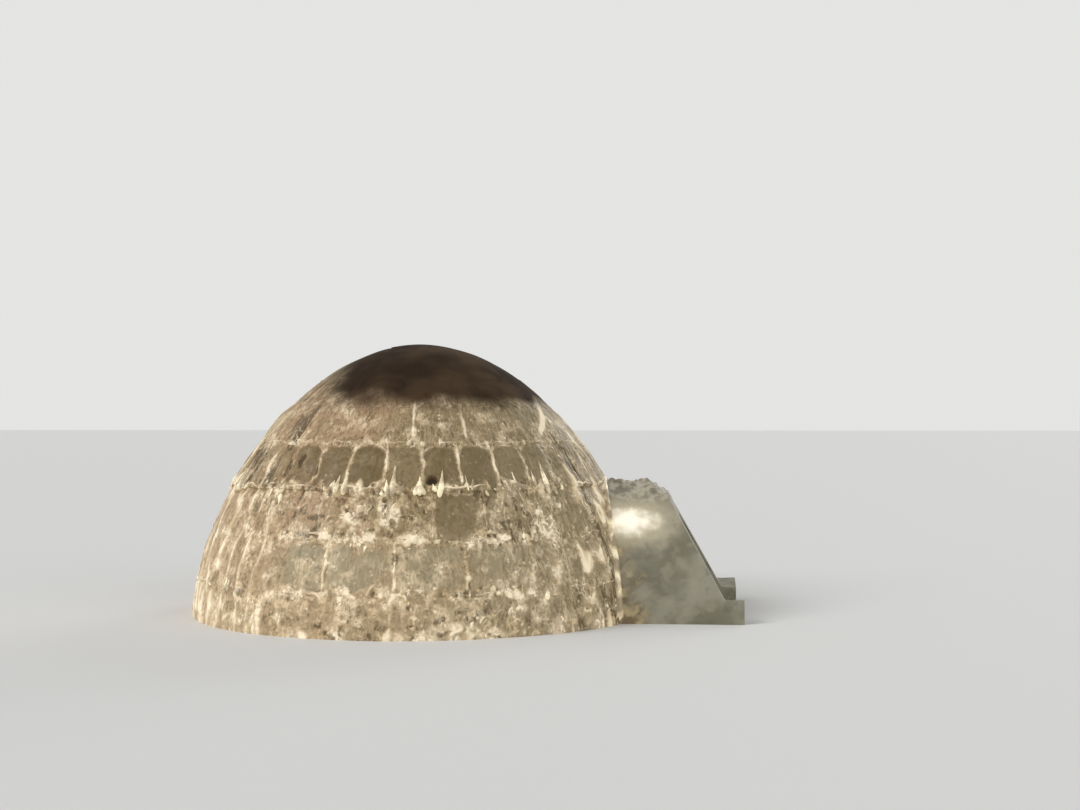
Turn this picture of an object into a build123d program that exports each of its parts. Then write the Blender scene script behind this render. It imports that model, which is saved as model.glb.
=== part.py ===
"""A snow-block igloo with a crawl-in entrance passage, built as its real blocks.

The igloo stands on the ground plane z = 0, and its entrance passage leads out along +X. It
is laid out from the dome's axis, and the finished model has its origin on the ground at the
middle of the whole footprint. Every block is a slab of hard snow, sawn to fit: its ends are
radial cuts, its bed leans in towards the dome's axis, its inner face is flat and its outer
face follows the dome. Blocks on one side of a course share a node, as separate solids with a
hairline joint between them.

All lengths are in millimetres.
"""

import os
from math import asin, atan2, cos, hypot, pi, radians, sin

from build123d import *

# The dome's outside: radius at the ground, height, and how full its curve is
DOME_RADIUS = 1800
DOME_HEIGHT = 2124
CURVE_POWER = 1.5

# The dome's wall: a footing course, the wall courses, then the cap's and the key block.
# The footing and the key block are measured along the outside of the wall.
WALL_THICKNESS = 250
FOOTING_HEIGHT = 290
WALL_COURSES = 4
CAP_DEPTH = 500
CAP_COURSES = 3
KEY_RADIUS = 250

# Blocks round each course from the footing upwards, without the lintel over the doorway, and
# the share of a block by which its joints are turned. Where the doorway interrupts a turned
# course, it starts and ends with part of a block.
BLOCKS_IN_COURSE = (18, 20, 24, 33, 20, 16, 12, 9)
COURSE_TURNS = (0, 0.5, 0.5, 0.66, 0.38, 0, 0.5, 0)

# The doorway through the dome's wall
DOOR_HALF_WIDTH = 320
DOOR_COURSES = 2
DOOR_HEAD_RISE = 90
LINTEL_BEARING = 130

# The entrance passage: outside half width and height, walls, kerb and sloping mouth
PASSAGE_HALF_WIDTH = 800
PASSAGE_HEIGHT = 1030
PASSAGE_WALL = 230
KERB_HEIGHT = 180
PASSAGE_WALL_COURSES = 3
CROWN_HALF_LENGTH = 270
MOUTH_CROWN_X = 1930
MOUTH_FOOT_X = 2500
BROW_LENGTH = 110
KERB_END_X = 2550

# Blocks along the passage in its kerb, its wall courses and its crown, and how far their
# joints are staggered
PASSAGE_BLOCKS = (2, 2, 2, 2, 1)
PASSAGE_STAGGER = 70

# Joints and edges
JOINT_GAP = 0.3
EDGE_CHAMFER = 16

# Working allowances: waste left round a block before it is sawn, and the curve's fine step
SAW_WASTE = 120
CURVE_STEPS = 360


def curve_point(angle, half_width, height):
    """Point of the wall's curve as (half width, height) at a curve angle of 0 to 90 degrees.

    It satisfies (r / half_width) ** 2 + (z / height) ** CURVE_POWER = 1.
    """
    rise = sin(radians(angle)) ** (2 / CURVE_POWER)
    return half_width * cos(radians(angle)), height * rise


def curve_normal(point, half_width, height):
    """Outward unit normal of the wall's curve at a point on it."""
    r, z = point
    out = 2 * r / half_width**2
    up = CURVE_POWER * (max(z, 0) / height) ** (CURVE_POWER - 1) / height
    size = hypot(out, up)
    return out / size, up / size


class WallCurve:
    """The outside curve of a wall from the ground to its crown, with lengths along it."""

    def __init__(self, half_width, height):
        self.half_width = half_width
        self.height = height
        angles = [90 * i / CURVE_STEPS for i in range(CURVE_STEPS + 1)]
        self.points = [curve_point(a, half_width, height) for a in angles]
        self.lengths = [0.0]
        for (r0, z0), (r1, z1) in zip(self.points, self.points[1:]):
            self.lengths.append(self.lengths[-1] + hypot(r1 - r0, z1 - z0))
        self.total = self.lengths[-1]

    def at_length(self, length):
        """The point at a length along the curve from the ground."""
        for i, reached in enumerate(self.lengths[1:], start=1):
            if reached >= length:
                share = (length - self.lengths[i - 1]) / (reached - self.lengths[i - 1])
                (r0, z0), (r1, z1) = self.points[i - 1], self.points[i]
                return r0 + share * (r1 - r0), z0 + share * (z1 - z0)
        return self.points[-1]

    def length_at_height(self, z):
        """The length along the curve at which it reaches a height."""
        for i, point in enumerate(self.points):
            if point[1] >= z:
                return self.lengths[i]
        return self.total

    def normal(self, point):
        return curve_normal(point, self.half_width, self.height)


def evenly(first, last, courses):
    """Lengths of the beds on top of equal courses between two lengths."""
    return [first + (last - first) * i / courses for i in range(1, courses + 1)]


# Where the beds of the dome's courses lie
dome_curve = WallCurve(DOME_RADIUS, DOME_HEIGHT)
cap_start = dome_curve.length_at_height(DOME_HEIGHT - CAP_DEPTH)
bed_lengths = [0, FOOTING_HEIGHT]
bed_lengths += evenly(FOOTING_HEIGHT, cap_start, WALL_COURSES)
bed_lengths += evenly(cap_start, dome_curve.total - KEY_RADIUS, CAP_COURSES)
beds = [dome_curve.at_length(length) for length in bed_lengths]
course_count = len(beds) - 1
lintel_half_length = DOOR_HALF_WIDTH + LINTEL_BEARING


def radial_plane(azimuth, offset=0):
    """Upright plane through the dome's axis, facing the way azimuth grows."""
    facing = Vector(-sin(azimuth), cos(azimuth), 0)
    return Plane(origin=facing * offset, z_dir=facing)


def side_plane(y, offset=0):
    """Upright plane along the passage's direction at a distance y from its centre line."""
    return Plane(origin=(0, y + offset, 0), z_dir=(0, 1, 0))


def bed_plane(level, azimuth, offset=0):
    """Bed on top of a course, square to the wall and leaning in towards the axis."""
    r, z = beds[level]
    out, up = dome_curve.normal((r, z))
    facing = Vector(-up * cos(azimuth), -up * sin(azimuth), out)
    point = Vector(r * cos(azimuth), r * sin(azimuth), z)
    return Plane(origin=point + facing * offset, z_dir=facing)


def inner_plane(level, azimuth):
    """Flat inner face of a block, parallel to the straight line of its course's outside."""
    (r0, z0), (r1, z1) = beds[level], beds[level + 1]
    run = hypot(r1 - r0, z1 - z0)
    out, up = (z1 - z0) / run, (r0 - r1) / run
    r, z = r0 - WALL_THICKNESS * out, z0 - WALL_THICKNESS * up
    facing = Vector(out * cos(azimuth), out * sin(azimuth), up)
    return Plane(origin=(r * cos(azimuth), r * sin(azimuth), z), z_dir=facing)


class Joint:
    """An end joint of a block: radial, or parallel to the passage beside the doorway."""

    def __init__(self, azimuth, side=None):
        self.azimuth = azimuth
        self.side = side

    def plane(self, offset):
        if self.side is None:
            return radial_plane(self.azimuth, offset)
        return side_plane(self.side, offset)


def course_joints(level):
    """End joints round a course, in order of azimuth.

    The courses that the doorway interrupts run from jamb to jamb. The next one starts with a
    long lintel over the doorway. The others are full rings, each with a turn of its own.
    """
    blocks, turn = BLOCKS_IN_COURSE[level], COURSE_TURNS[level]
    if level <= DOOR_COURSES:
        half = DOOR_HALF_WIDTH if level < DOOR_COURSES else lintel_half_length
        start = asin(half / beds[level][0])
        step = (2 * pi - 2 * start) / blocks
        between = [Joint(start + step * (i + turn)) for i in range(blocks) if i + turn > 0]
        joints = [Joint(start, side=half), *between, Joint(2 * pi - start, side=-half)]
        if level == DOOR_COURSES:
            joints = [Joint(-start, side=-half), *joints]
        return joints
    step = 2 * pi / blocks
    return [Joint(step * (turn + i)) for i in range(blocks + 1)]


def apart(a, b):
    """Smallest angle between two azimuths."""
    return abs((a - b + pi) % (2 * pi) - pi)


class BlockPlan:
    """Where one block of the dome stands and which joints it lies between."""

    def __init__(self, level, low, high):
        self.level = level
        self.low = low
        self.high = high
        self.azimuth = (low.azimuth + high.azimuth) / 2
        self.half_angle = (high.azimuth - low.azimuth) / 2

    def rests_on(self, below):
        """Whether a block of the course below lies under some of this one."""
        reach = self.half_angle + below.half_angle
        return apart(self.azimuth, below.azimuth) < reach

    def is_lintel(self):
        return self.level == DOOR_COURSES and self.low.side == -lintel_half_length


def plan_course(level):
    joints = course_joints(level)
    return [BlockPlan(level, low, high) for low, high in zip(joints, joints[1:])]


plans = [plan_course(level) for level in range(course_count)]


def course_blank(level):
    """Solid cone of snow whose outside is one course's, with waste above and below."""
    (r0, z0), (r1, z1) = beds[level], beds[level + 1]
    run = hypot(r1 - r0, z1 - z0)
    out, up = (r1 - r0) / run, (z1 - z0) / run
    foot = (r0 - SAW_WASTE * out, z0 - SAW_WASTE * up)
    head = (r1 + SAW_WASTE * out, z1 + SAW_WASTE * up)
    with BuildPart() as blank:
        with BuildSketch(Plane.XZ):
            with BuildLine():
                depth = z0 - WALL_THICKNESS - SAW_WASTE
                Polyline((0, depth), (foot[0], depth), foot, head, (0, head[1]), close=True)
            make_face()
        revolve(axis=Axis.Z)
    return blank.part


def block_cuts(plan):
    """Saw cuts of a dome block, each a plane that faces the side to keep."""
    half_gap = JOINT_GAP / 2
    low, high = plan.low.plane(half_gap), plan.high.plane(-half_gap)
    top = bed_plane(plan.level + 1, plan.azimuth, -half_gap)
    cuts = [low, -high, -top, inner_plane(plan.level, plan.azimuth)]
    if plan.level == 0:
        return [*cuts, Plane.XY]
    under = [p.azimuth for p in plans[plan.level - 1] if plan.rests_on(p)]
    if plan.is_lintel():
        under.append(plan.azimuth)
    return cuts + [bed_plane(plan.level, azimuth, half_gap) for azimuth in under]


def dome_block(plan, blank):
    """One block of the dome, sawn from its course's blank, with its upright edges eased."""
    with BuildPart() as block:
        add(blank)
        for cut in block_cuts(plan):
            split(bisect_by=cut, keep=Keep.TOP)
        if plan.is_lintel():
            with BuildSketch(Plane.YZ):
                springing = beds[DOOR_COURSES][1] - WALL_THICKNESS
                head = beds[DOOR_COURSES][1] + DOOR_HEAD_RISE - JOINT_GAP
                with BuildLine():
                    shoulder = head - DOOR_HEAD_RISE
                    left, right = (-DOOR_HALF_WIDTH, shoulder), (DOOR_HALF_WIDTH, shoulder)
                    ThreePointArc(left, (0, head), right)
                    foot_right = (DOOR_HALF_WIDTH, springing)
                    foot_left = (-DOOR_HALF_WIDTH, springing)
                    Polyline(right, foot_right, foot_left, left)
                make_face()
            extrude(amount=2 * DOME_RADIUS, mode=Mode.SUBTRACT)
        outer = block.faces().filter_by(GeomType.CONE).sort_by(SortBy.AREA)[-1]
        low, high = beds[plan.level][1], beds[plan.level + 1][1]
        ends = outer.edges().filter_by(
            lambda e: abs(e.center().Z - (low + high) / 2) < (high - low) / 4
        )
        chamfer(ends, EDGE_CHAMFER)
    return block.part


def key_block():
    """The round key block that closes the dome, tapered to sit in the last course."""
    r, z = beds[-1]
    foot = z - WALL_THICKNESS * dome_curve.normal((r, z))[1]
    with BuildPart() as key:
        with BuildSketch(Plane.XZ):
            with BuildLine():
                Polyline((0, DOME_HEIGHT), (r, z), (r, foot), (0, foot), close=True)
            make_face()
        revolve(axis=Axis.Z)
        for plan in plans[-1]:
            split(bisect_by=bed_plane(course_count, plan.azimuth, JOINT_GAP / 2))
    return key.part


# Where the beds of the passage's courses lie, from the ground to the crown slab
passage_curve = WallCurve(PASSAGE_HALF_WIDTH, PASSAGE_HEIGHT)
kerb_length = passage_curve.length_at_height(KERB_HEIGHT)
passage_bed_lengths = [0, kerb_length]
passage_bed_lengths += evenly(
    kerb_length, passage_curve.total - CROWN_HALF_LENGTH, PASSAGE_WALL_COURSES
)

# The sloping mouth, and the brow that is cut off above it at half its slope
mouth_slope = atan2(PASSAGE_HEIGHT, MOUTH_FOOT_X - MOUTH_CROWN_X)
mouth_plane = Plane(
    origin=(MOUTH_FOOT_X, 0, 0), z_dir=(-sin(mouth_slope), 0, -cos(mouth_slope))
)
brow_plane = Plane(
    origin=(MOUTH_CROWN_X - BROW_LENGTH, 0, PASSAGE_HEIGHT),
    z_dir=(-sin(mouth_slope / 2), 0, -cos(mouth_slope / 2)),
)


def overhang(level):
    """How far a course stands proud of the one below where it dips into its leaning beds."""
    if level == 0 or level == course_count:
        return 0
    (r_low, z_low), (r, z), (r_high, z_high) = beds[level - 1 : level + 2]
    out, up = dome_curve.normal((r, z))
    half_angle = max(plan.half_angle for plan in plans[level - 1])
    dip = r * (1 - cos(half_angle)) * up / out
    return dip * ((r - r_high) / (z_high - z) - (r_low - r) / (z - z_low))


def dome_envelope():
    """The dome as one solid out to its outside, with the passage's joint round it."""
    with BuildPart() as envelope:
        with BuildSketch(Plane.XZ):
            with BuildLine():
                outside = [(r + overhang(i) + JOINT_GAP, z) for i, (r, z) in enumerate(beds)]
                Polyline((0, 0), *outside, (0, beds[-1][1]), close=True)
            make_face()
        revolve(axis=Axis.Z)
    return envelope.part


def joint_ends(length):
    """Outer and inner end of a passage joint square to the wall, as (y, z)."""
    y, z = passage_curve.at_length(length)
    out, up = passage_curve.normal((y, z))
    return (y, z), (y - PASSAGE_WALL * out, z - PASSAGE_WALL * up)


def passage_wall_section(course):
    """Section of one wall course of the passage, as (y, z), on its rear side."""
    low, high = passage_bed_lengths[course], passage_bed_lengths[course + 1]
    middle = passage_curve.at_length((low + high) / 2)
    outer_low, inner_low = joint_ends(low + JOINT_GAP / 2 if course else low)
    outer_high, inner_high = joint_ends(high - JOINT_GAP / 2)
    with BuildSketch() as section:
        with BuildLine():
            ThreePointArc(outer_low, middle, outer_high)
            Polyline(outer_high, inner_high, inner_low, outer_low)
        make_face()
    return section.sketch


def passage_crown_section():
    """Section of the passage's crown, as (y, z), arched on top and flat underneath."""
    (y0, z0), (y1, z1) = joint_ends(passage_bed_lengths[-1] + JOINT_GAP / 2)
    with BuildSketch() as section:
        with BuildLine():
            ThreePointArc((-y0, z0), (0, PASSAGE_HEIGHT), (y0, z0))
            Polyline((y0, z0), (y1, z1), (-y1, z1), (-y0, z0))
        make_face()
    return section.sketch


def dome_x(y, z):
    """Where the dome's outside lies along X, at a distance and height across the passage."""
    radius = DOME_RADIUS * (1 - (z / DOME_HEIGHT) ** CURVE_POWER) ** 0.5
    return (radius**2 - y**2) ** 0.5


def mouth_x(z):
    """Where the sloping mouth lies along X at a height."""
    return MOUTH_FOOT_X + (MOUTH_CROWN_X - MOUTH_FOOT_X) * z / PASSAGE_HEIGHT


def passage_blocks(section, envelope, course):
    """Blocks of one passage course, laid out from the dome to the mouth."""
    centre = section.face().center()
    sloping = course > 0
    start_x = dome_x(centre.X, centre.Y)
    end_x = mouth_x(centre.Y) if sloping else KERB_END_X
    count = PASSAGE_BLOCKS[course]
    length = (end_x - start_x) / count
    stagger = PASSAGE_STAGGER if course % 2 else -PASSAGE_STAGGER
    blocks = []
    for i in range(count):
        first, last = i == 0, i == count - 1
        low_x = 0 if first else start_x + length * i + stagger + JOINT_GAP / 2
        high_x = KERB_END_X if last else start_x + length * (i + 1) + stagger - JOINT_GAP / 2
        with BuildPart() as block:
            with BuildSketch(Plane.YZ.offset(low_x)):
                add(section)
            extrude(amount=high_x - low_x)
            if first:
                add(envelope, mode=Mode.SUBTRACT)
            if last and sloping:
                split(bisect_by=mouth_plane, keep=Keep.TOP)
                split(bisect_by=brow_plane, keep=Keep.TOP)
        blocks.append(block.part)
    return blocks


def side_of(plan):
    """Which side of the igloo a block faces, by halves in the cap and quarters below it."""
    if plan.level > WALL_COURSES:
        return "rear" if plan.azimuth % (2 * pi) < pi else "front"
    names = ("passage_side", "rear", "far_side", "front")
    return names[int(((plan.azimuth + pi / 4) % (2 * pi)) / (pi / 2))]


def write(name, blocks):
    """One node of separate blocks, moved so that the footprint's middle is the origin."""
    to_middle = Location(((DOME_RADIUS - KERB_END_X) / 2, 0, 0))
    node = Compound(label=name, children=[block.moved(to_middle) for block in blocks])
    export_step(node, f"parts/{name}.step")


def build_dome():
    for level, course in enumerate(plans):
        blank = course_blank(level)
        nodes = {}
        for plan in course:
            name = f"course_{level + 1}_{side_of(plan)}"
            if plan.is_lintel():
                name = "doorway_lintel"
            nodes.setdefault(name, []).append(dome_block(plan, blank))
        for name, blocks in nodes.items():
            write(name, blocks)
    write("key_block", [key_block()])


def build_passage():
    envelope = dome_envelope()
    crown_course = len(passage_bed_lengths) - 1
    for course in range(crown_course):
        blocks = passage_blocks(passage_wall_section(course), envelope, course)
        name = f"passage_course_{course}" if course else "passage_kerb"
        write(f"{name}_rear", blocks)
        write(f"{name}_front", [mirror(block, about=Plane.XZ) for block in blocks])
    crown_blocks = passage_blocks(passage_crown_section(), envelope, crown_course)
    write("passage_crown", crown_blocks)


os.makedirs("parts", exist_ok=True)
build_dome()
build_passage()
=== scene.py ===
"""The snow block igloo at night's end: glazed, melted and refrozen blocks that glow from within.

Every block of the frame is remade as a closed ice block with a finely shaped outer face, so that
its course, its joints and its place stay the frame's own. All lengths are in metres.
"""

import math
import random
from types import SimpleNamespace

import bpy
import numpy as np
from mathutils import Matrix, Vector


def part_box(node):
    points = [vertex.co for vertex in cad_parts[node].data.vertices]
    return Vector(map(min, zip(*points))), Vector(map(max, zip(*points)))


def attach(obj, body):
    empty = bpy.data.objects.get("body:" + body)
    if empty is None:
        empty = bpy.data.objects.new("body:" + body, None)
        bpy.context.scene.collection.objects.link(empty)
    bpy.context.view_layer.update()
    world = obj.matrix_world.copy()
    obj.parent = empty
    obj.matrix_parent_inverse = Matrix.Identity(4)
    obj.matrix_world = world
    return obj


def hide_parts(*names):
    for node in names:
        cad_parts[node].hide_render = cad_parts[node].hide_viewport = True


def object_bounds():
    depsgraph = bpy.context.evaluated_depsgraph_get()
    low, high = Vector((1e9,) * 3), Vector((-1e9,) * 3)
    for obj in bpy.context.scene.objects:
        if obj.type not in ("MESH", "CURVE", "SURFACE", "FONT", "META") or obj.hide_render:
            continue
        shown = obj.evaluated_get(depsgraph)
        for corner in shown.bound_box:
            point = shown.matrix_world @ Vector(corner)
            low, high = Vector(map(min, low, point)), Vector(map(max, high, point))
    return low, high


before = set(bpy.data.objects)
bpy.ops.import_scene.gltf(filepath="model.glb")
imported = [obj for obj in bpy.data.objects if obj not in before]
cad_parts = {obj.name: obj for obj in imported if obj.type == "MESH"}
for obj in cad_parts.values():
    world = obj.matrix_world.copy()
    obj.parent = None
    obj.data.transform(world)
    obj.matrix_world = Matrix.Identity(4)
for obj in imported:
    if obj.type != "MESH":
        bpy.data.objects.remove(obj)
cad_low, cad_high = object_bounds()

# The dome's curve, (r / DOME_RADIUS) ** 2 + (z / DOME_HEIGHT) ** CURVE_POWER = 1
DOME_RADIUS = 1.8
DOME_HEIGHT = cad_high.z
CURVE_POWER = 1.5
WALL = 0.25
key_low, key_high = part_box("key_block")
AXIS = Vector(((key_low.x + key_high.x) / 2, 0, 0))

# The doorway through the dome
DOOR_HALF_WIDTH = 0.32
DOOR_HEAD_RISE = 0.09
JAMB_AZIMUTH = math.radians(18.3)
LINTEL_COURSE = 3
lintel_half_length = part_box("doorway_lintel")[1].y

# The passage, with its sloping mouth, measured from the dome's axis
PASSAGE_HALF_WIDTH = 0.8
PASSAGE_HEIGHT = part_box("passage_crown")[1].z
PASSAGE_WALL = 0.23
MOUTH_FOOT = 2.5
MOUTH_CROWN = 1.93
BROW_LENGTH = 0.11
KERB_END = 2.55

# How finely a block is divided: its sides, then its outer face again where that is worked most
SIDE_CELLS = 4
WORKED_CUTS = 11
PLAIN_CUTS = 7
WORKED_COURSES = (2, 3, 4, 5)
# A face whose corners all lie this deep, as a share of the wall, is the inside one
INSIDE_DEPTH = 0.99
# The relief fades out over the outer third of the wall
FADE = 3
# Corners of the frame's meshes this close are one, and outer corners lie this near the curve
MERGE_DISTANCE = 0.00005
NEAR_OUTSIDE = 0.04
CRISP_ANGLE = math.radians(50)

random.seed(7)


# Selecting and joining


def deselect():
    bpy.ops.object.select_all(action="DESELECT")


def only(obj):
    """Makes one object the selected and active one."""
    deselect()
    obj.hide_set(False)
    obj.select_set(True)
    bpy.context.view_layer.objects.active = obj


def edit_mode(select_all=False):
    """Goes to edit mode, where asked with all of the mesh selected."""
    bpy.ops.object.mode_set(mode="EDIT")
    if select_all:
        bpy.ops.mesh.select_all(action="SELECT")


def object_mode():
    bpy.ops.object.mode_set(mode="OBJECT")


def merged(name, parts):
    """Several objects as one piece."""
    deselect()
    for part in parts:
        part.select_set(True)
    bpy.context.view_layer.objects.active = parts[0]
    if len(parts) > 1:
        bpy.ops.object.join()
    piece = bpy.context.active_object
    piece.name = name
    return piece


def joined(name, blocks):
    """Several blocks as one piece, smooth on its faces and crisp at its joints."""
    piece = merged(name, blocks)
    piece.data.name = name
    bpy.ops.object.shade_smooth_by_angle(angle=CRISP_ANGLE)
    return piece


def face_outwards(piece):
    """Turns all faces of a closed piece outwards."""
    only(piece)
    edit_mode(select_all=True)
    bpy.ops.mesh.normals_make_consistent(inside=False)
    object_mode()


def reshape(mesh, places):
    """Moves a mesh's corners to their places."""
    mesh.vertices.foreach_set("co", places.astype(np.float32).ravel())


def corners(mesh):
    """The corners of a mesh, one row each."""
    return np.array([v.co for v in mesh.vertices])


# Noise, worked out for all points at once


def lattice_value(cells, seed):
    """A repeatable value from 0 to 1 for each whole-numbered lattice point."""
    x, y, z = cells[:, 0], cells[:, 1], cells[:, 2]
    mixed = (x * 73856093) ^ (y * 19349663) ^ (z * 83492791) ^ (seed * 2654435761)
    mixed = (mixed ^ (mixed >> 13)) * 1274126177
    return ((mixed ^ (mixed >> 16)) & 0xFFFF) / 65535.0


def noise(points, seed):
    """Smooth noise from -1 to 1 at each row of points, with features about one unit wide."""
    base = np.floor(points).astype(np.int64)
    part = points - base
    part = part * part * (3 - 2 * part)
    total = np.zeros(len(points))
    for corner in range(8):
        step = np.array([corner & 1, corner >> 1 & 1, corner >> 2 & 1])
        weight = np.prod(np.where(step, part, 1 - part), axis=1)
        total += weight * lattice_value(base + step, seed)
    return total * 2 - 1


def rough(points, seed):
    """Two sizes of noise together, the second half as large and half as strong."""
    return (noise(points, seed) + noise(points * 2.0, seed + 1) / 2.0) / 1.5


def crests(values, width):
    """Thin crests from 0 to 1 along the lines where the noise changes sign."""
    return np.clip(1 - np.abs(values) / width, 0, 1) ** 1.3


def droplets(points, seed, share):
    """Round drops from 0 to 1, one near each lattice point, for a share of the lattice."""
    base = np.floor(points).astype(np.int64)
    drop = np.zeros(len(points))
    for i in range(27):
        cell = base + np.array([i % 3 - 1, i // 3 % 3 - 1, i // 9 - 1])
        middle = cell + np.stack([lattice_value(cell, seed + k) for k in range(3)], axis=1)
        size = 0.25 + 0.5 * lattice_value(cell, seed + 3)
        away = np.sqrt(((points - middle) ** 2).sum(axis=1)) / size
        kept = lattice_value(cell, seed + 4) < share
        drop = np.maximum(drop, np.where(kept, np.sqrt(np.clip(1 - away**2, 0, 1)), 0))
    return drop


def smoothstep(low, high, value):
    t = np.clip((value - low) / (high - low), 0, 1)
    return t * t * (3 - 2 * t)


def within(foot, top, value):
    """1 between two soft limits, each a pair of where it starts and ends, and 0 outside them."""
    return smoothstep(*foot, value) * (1 - smoothstep(*top, value))


# The curve of the dome and the passage


def rise_angle(z, height):
    """The curve's own angle at a height: 0 on the ground, 90 degrees at the crown."""
    return np.arcsin(np.clip(z / height, 0, 1) ** (CURVE_POWER / 2))


def curve_point(angle, half_width, height):
    """Distance out, height and outward normal of the curve at its own angle."""
    r = half_width * np.cos(angle)
    z = height * np.sin(angle) ** (2 / CURVE_POWER)
    out = 2 * r / half_width**2
    up = CURVE_POWER * (z / height) ** (CURVE_POWER - 1) / height
    size = np.hypot(out, up)
    return r, z, out / size, up / size


def curve_angle(z):
    return rise_angle(z, DOME_HEIGHT)


def curve_at(angle):
    return curve_point(angle, DOME_RADIUS, DOME_HEIGHT)


def passage_at(angle):
    return curve_point(angle, PASSAGE_HALF_WIDTH, PASSAGE_HEIGHT)


def on_dome(radius, azimuth, height):
    """Places at a distance from the dome's axis."""
    return np.stack(
        [AXIS.x + radius * np.cos(azimuth), radius * np.sin(azimuth), height], axis=1
    )


def outward(out, azimuth, rise):
    """Directions away from the dome's axis."""
    return np.stack([out * np.cos(azimuth), out * np.sin(azimuth), rise], axis=1)


def course_tops():
    """Height of the bed on top of each course, from the frame, with the ground first."""
    tops = {}
    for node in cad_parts:
        if node.startswith("course_"):
            level = int(node.split("_")[1])
            tops[level] = max(tops.get(level, 0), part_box(node)[1].z)
    return [0.0] + [tops[level] for level in sorted(tops)]


beds = course_tops()

WALL_STEPS = 400
wall_angles = np.linspace(0.0, math.pi / 2, WALL_STEPS)
wall_radii, wall_heights = curve_at(wall_angles)[:2]
wall_runs = np.hypot(np.diff(wall_radii), np.diff(wall_heights))
wall_lengths = np.concatenate([[0], np.cumsum(wall_runs)])
# Radius at which a turn about the axis is measured as a length
RING = 1.5


def wall_place(azimuth, angle):
    """Coordinates that follow the wall, so that melt water runs straight down in them."""
    up_the_wall = np.interp(angle, wall_angles, wall_lengths)
    return np.stack([RING * np.cos(azimuth), RING * np.sin(azimuth), up_the_wall], axis=1)


# How the melt has shaped each course, in metres where it is a length
# joint: half width of the icy joint; corner: radius of a pane's upper corners; ragged: height of
# the drips along its foot; pane: how clean the pane is; dark: how dark it looks; pillow: how far it
# stands out; arch, rib: ice over the pane and beside it; melt, ice: slush and frozen drops round
# it; streak: runs of melt water; sill: ice on the bed below; ridge: thin ridges of melt water
SHAPE_KEYS = (
    "joint", "corner", "ragged", "pane", "dark", "pillow",
    "arch", "rib", "melt", "ice", "streak", "sill", "ridge",
)
SHAPE_ROWS = {
    1: (0.007, 0.040, 0.120, 0.30, 0.30, 0.005, 0.35, 0.50, 0.9, 1.00, 1.0, 0.3, 0.9),
    2: (0.008, 0.060, 0.050, 0.85, 0.32, 0.012, 0.35, 1.20, 0.6, 1.10, 0.9, 0.5, 0.9),
    3: (0.008, 0.050, 0.070, 0.25, 0.90, 0.006, 0.35, 0.80, 1.1, 1.15, 0.9, 0.5, 0.5),
    4: (0.007, 0.085, 0.050, 1.00, 0.90, 0.016, 0.85, 1.05, 0.5, 1.00, 0.9, 1.0, 0.0),
    5: (0.009, 0.040, 0.035, 0.80, 0.12, 0.007, 0.45, 1.40, 0.5, 0.80, 0.9, 0.6, 0.0),
    6: (0.006, 0.040, 0.050, 0.70, 0.30, 0.003, 0.35, 0.15, 0.3, 0.30, 0.4, 0.0, 0.0),
    7: (0.000, 0.030, 0.020, 1.00, 0.50, 0.000, 0.00, 0.00, 0.0, 0.00, 0.1, 0.0, 0.0),
    8: (0.000, 0.030, 0.020, 1.00, 0.50, 0.000, 0.00, 0.00, 0.0, 0.00, 0.0, 0.0, 0.0),
}
COURSE_SHAPES = {level: dict(zip(SHAPE_KEYS, row)) for level, row in SHAPE_ROWS.items()}
LOWER_CORNER = 0.03

# Melt water has run down the whole wall beside the passage and on the far left: where that
# starts and ends, as shares of the radius across the front
RIGHT_RUNS = (0.42, 0.72)
LEFT_RUNS = (-0.66, -0.28)
# Where the ribs of a course stand clear of the melt, as such shares
RIBS_BETWEEN = {4: (-0.30, 0.62), 5: (-0.08, 0.42)}
# The left shoulder, which gullies cross, up the wall and across the front
SHOULDER_RISE = (0.95, 1.2)
SHOULDER_ACROSS = (-0.46, -0.24)
# The course that stands out over the next at its foot, and how far and how high up
LEDGE_COURSE = 4
LEDGE_PROUD = 0.016
LEDGE_RISE = 0.16
# The one clean, dark block of the mottled third course, by its azimuth
CLEAN_BLOCK_COURSE = 3
CLEAN_BLOCK_AZIMUTH = math.radians(-69)
# Holes and furrows melted into the face: azimuth in degrees, height, radius, depth and how round
# each is
PITS = (
    (-77.5, 1.080, 0.052, 0.045, 1.2),
    (-77.5, 1.700, 0.050, 0.016, 1.3),
    (-128.4, 1.370, 0.055, 0.024, 0.33),
    (-119.5, 1.210, 0.035, 0.016, 0.40),
    (-124.0, 1.180, 0.035, 0.016, 0.35),
    (60, 1.120, 0.045, 0.030, 1.3),
    (170, 0.980, 0.040, 0.030, 1.3),
)
# A painted highlight high above the passage, a glossy sheen of wet ice: azimuth, half width, foot and
# top
SHEEN_AZIMUTH = math.radians(-6)
SHEEN_HALF = math.radians(12)
SHEEN_FOOT = (1.05, 1.30)
SHEEN_TOP = (1.52, 1.62)
# A painted bright streak of highlight at its front edge, which turns with height
HIGHLIGHT_AZIMUTH = math.radians(-21)
HIGHLIGHT_HALF = math.radians(2)
HIGHLIGHT_TURN = math.radians(62)
HIGHLIGHT_HEIGHT = 1.6
HIGHLIGHT_FOOT = (1.34, 1.50)
HIGHLIGHT_TOP = (1.68, 1.76)

# How far each kind of melt mark stands out of the face or is sunk into it, how uneven the inside
# is, and how far melt water wanders on its way down
LUMP_HEIGHT = 0.024
CREST_HEIGHT = 0.010
DROP_HEIGHT = 0.011
RIM_HEIGHT = 0.009
CURL_HEIGHT = 0.007
RIDGE_HEIGHT = 0.010
SILL_HEIGHT = 0.008
GULLY_DEPTH = 0.014
GRAIN_HEIGHT = 0.002
INNER_MELT = 0.008
WANDER = 0.022

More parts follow.
